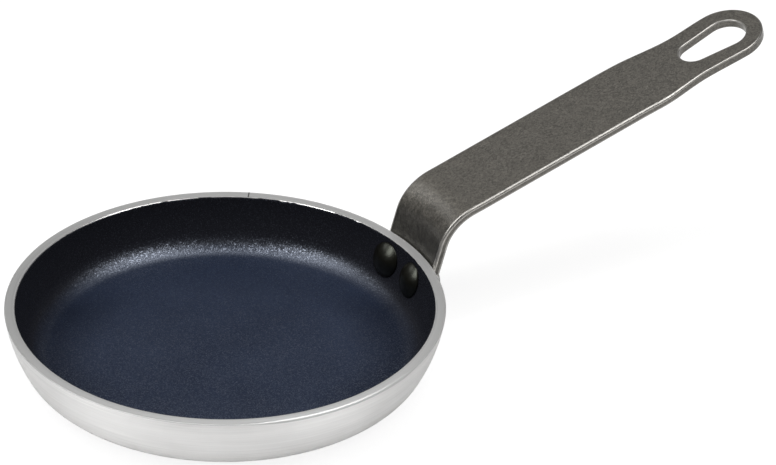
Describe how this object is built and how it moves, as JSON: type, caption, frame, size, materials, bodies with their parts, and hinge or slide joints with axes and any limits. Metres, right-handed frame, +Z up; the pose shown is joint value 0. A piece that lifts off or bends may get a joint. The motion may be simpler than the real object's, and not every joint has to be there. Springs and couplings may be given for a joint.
{
  "type": "blini pan",
  "caption": "Small shallow round pan with a dark non-stick inside and a bent flat bar handle, riveted to the wall and slotted at its end for hanging.",
  "frame": {"origin": "centre of the flat base, on the surface that the pan stands on", "axes": "+Z up through the pan's middle, +X along the handle, away from the pan, and +Y across it, so that the frame is right-handed"},
  "size_m": [0.233, 0.12, 0.0604],
  "materials": {
    "body_aluminium": "brushed in fine level rings on the wall, matte machined on the rim",
    "interior_coating": "satin blue-black non-stick coating with a very fine metallic sparkle",
    "handle_coating": "speckled warm dark grey baked finish, satin",
    "rivet_metal": "satin, dark coated on the head inside the pan and bare outside"
  },
  "bodies": {
    "root": {"pan_body": "body_aluminium", "nonstick_lining": "interior_coating", "handle": "handle_coating", "rivet_left": "rivet_metal", "rivet_right": "rivet_metal"}
  },
  "joints": []
}
